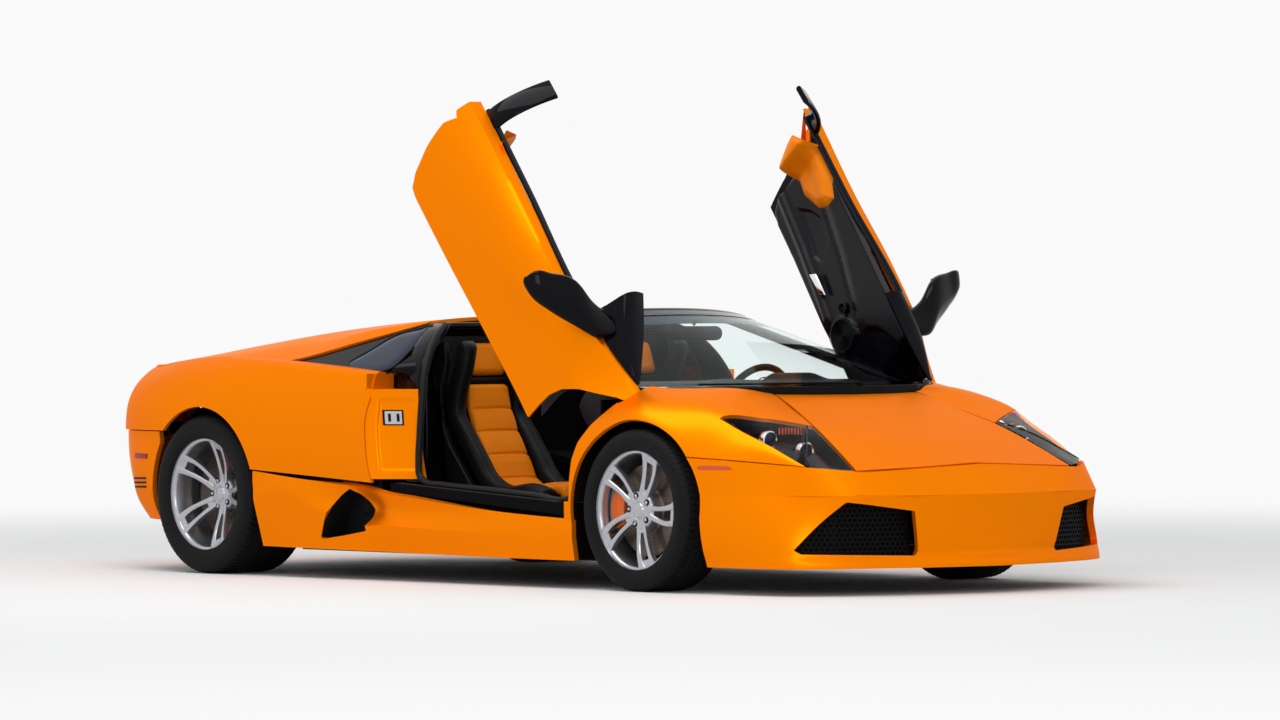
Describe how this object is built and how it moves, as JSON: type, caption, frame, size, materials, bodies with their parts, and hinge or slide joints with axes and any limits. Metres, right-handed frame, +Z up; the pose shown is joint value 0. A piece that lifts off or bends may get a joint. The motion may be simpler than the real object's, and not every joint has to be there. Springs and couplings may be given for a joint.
{
  "type": "mid-engined sports roadster",
  "caption": "Low wedge-shaped two-seat open sports car with scissor doors raised, bonnet and engine cover that lift, and steered wheels.",
  "frame": {"origin": "on the ground, at the middle of the car's length and width", "axes": "+X forward along the car, +Y to the car's left, +Z up"},
  "size_m": [4.61, 2.3, 2.0048],
  "materials": {
    "orange_paint": "pearl gloss",
    "lamp": "gloss",
    "lamp_glass": "gloss",
    "tail_lamp": "gloss",
    "black_mesh": "satin",
    "screen_glass": "gloss",
    "dark_glass": "gloss",
    "gloss_black": "gloss",
    "black_plastic": "matt",
    "cabin_trim": "grained",
    "seat_leather": "grained",
    "wheel_leather": "grained",
    "engine_metal": "cast",
    "steel": "satin",
    "tyre_rubber": "matt",
    "rim_silver": "silver lacquer"
  },
  "bodies": {
    "body": {"buttress_panels": "dark_glass", "cabin_rear_frame": "gloss_black", "cabin_tub": "cabin_trim", "centre_console": "cabin_trim", "cowl_panel": "black_plastic", "dashboard": "cabin_trim", "diffuser": "black_plastic", "engine_block": "engine_metal", "exhaust": "steel", "front_bumper": "orange_paint", "front_wing_left": "orange_paint", "front_wing_right": "orange_paint", "front_wishbones": "steel", "headlamp_covers": "lamp_glass", "headlamps": "lamp", "intake_grilles": "black_mesh", "interior_mirror": "gloss_black", "luggage_tub": "black_plastic", "rear_bumper": "orange_paint", "rear_deck": "orange_paint", "rear_grille": "black_mesh", "rear_suspension": "steel", "rear_wing_left": "orange_paint", "rear_wing_right": "orange_paint", "seat_left": "seat_leather", "seat_right": "seat_leather", "side_skirts": "orange_paint", "steering_column": "black_plastic", "tail_lamps": "tail_lamp", "tail_panel": "orange_paint", "undertray": "black_plastic", "wheel_liners": "black_plastic", "windscreen": "screen_glass", "windscreen_frame": "gloss_black", "wiper": "black_plastic"},
    "bonnet": {"bonnet": "orange_paint"},
    "engine_cover": {"engine_cover": "orange_paint"},
    "door_left": {"door_shell_left": "orange_paint", "door_trim_left": "cabin_trim", "door_frame_left": "gloss_black", "door_mirror_left": "gloss_black"},
    "front_upright_left": {"front_upright_left": "steel"},
    "front_wheel_left": {"front_tyre_left": "tyre_rubber", "front_rim_left": "rim_silver"},
    "rear_wheel_left": {"rear_tyre_left": "tyre_rubber", "rear_rim_left": "rim_silver"},
    "door_right": {"door_shell_right": "orange_paint", "door_trim_right": "cabin_trim", "door_frame_right": "gloss_black", "door_mirror_right": "gloss_black"},
    "front_upright_right": {"front_upright_right": "steel"},
    "front_wheel_right": {"front_tyre_right": "tyre_rubber", "front_rim_right": "rim_silver"},
    "rear_wheel_right": {"rear_tyre_right": "tyre_rubber", "rear_rim_right": "rim_silver"},
    "steering_wheel": {"steering_wheel": "wheel_leather"}
  },
  "joints": [
    {"name": "bonnet_hinge", "type": "hinge", "parent": "body", "child": "bonnet", "pos_m": [1.436, 0, 0.785], "axis": [0, -1, 0], "range_deg": [0, 60]},
    {"name": "engine_cover_hinge", "type": "hinge", "parent": "body", "child": "engine_cover", "pos_m": [-0.565, 0, 1.058], "axis": [0, 1, 0], "range_deg": [0, 50]},
    {"name": "door_left_hinge", "type": "hinge", "parent": "body", "child": "door_left", "pos_m": [1.075, 0.82, 0.775], "axis": [0, 1, 0], "range_deg": [-50.7, 0]},
    {"name": "steer_left", "type": "hinge", "parent": "body", "child": "front_upright_left", "pos_m": [1.235, 0.795, 0.314], "axis": [0, 0, 1], "range_deg": [-32, 32]},
    {"name": "front_wheel_left_spin", "type": "hinge", "parent": "front_upright_left", "child": "front_wheel_left", "pos_m": [1.235, 0.8175, 0.314], "axis": [0, 1, 0], "continuous": true},
    {"name": "rear_wheel_left_spin", "type": "hinge", "parent": "body", "child": "rear_wheel_left", "pos_m": [-1.43, 0.8475, 0.329], "axis": [0, 1, 0], "continuous": true},
    {"name": "door_right_hinge", "type": "hinge", "parent": "body", "child": "door_right", "pos_m": [1.075, -0.82, 0.775], "axis": [0, 1, 0], "range_deg": [-50.7, 0]},
    {"name": "steer_right", "type": "hinge", "parent": "body", "child": "front_upright_right", "pos_m": [1.235, -0.795, 0.314], "axis": [0, 0, 1], "range_deg": [-32, 32]},
    {"name": "front_wheel_right_spin", "type": "hinge", "parent": "front_upright_right", "child": "front_wheel_right", "pos_m": [1.235, -0.8175, 0.314], "axis": [0, 1, 0], "continuous": true},
    {"name": "rear_wheel_right_spin", "type": "hinge", "parent": "body", "child": "rear_wheel_right", "pos_m": [-1.43, -0.8475, 0.329], "axis": [0, 1, 0], "continuous": true},
    {"name": "steering_wheel_turn", "type": "hinge", "parent": "body", "child": "steering_wheel", "pos_m": [0.452, 0.385, 0.69], "axis": [-0.9292, 0, 0.3697], "range_deg": [-390, 390]}
  ],
  "couplings": [
    {"joint": "steer_right", "follows": "steer_left", "ratio": 1},
    {"joint": "steering_wheel_turn", "follows": "steer_left", "ratio": 12}
  ]
}
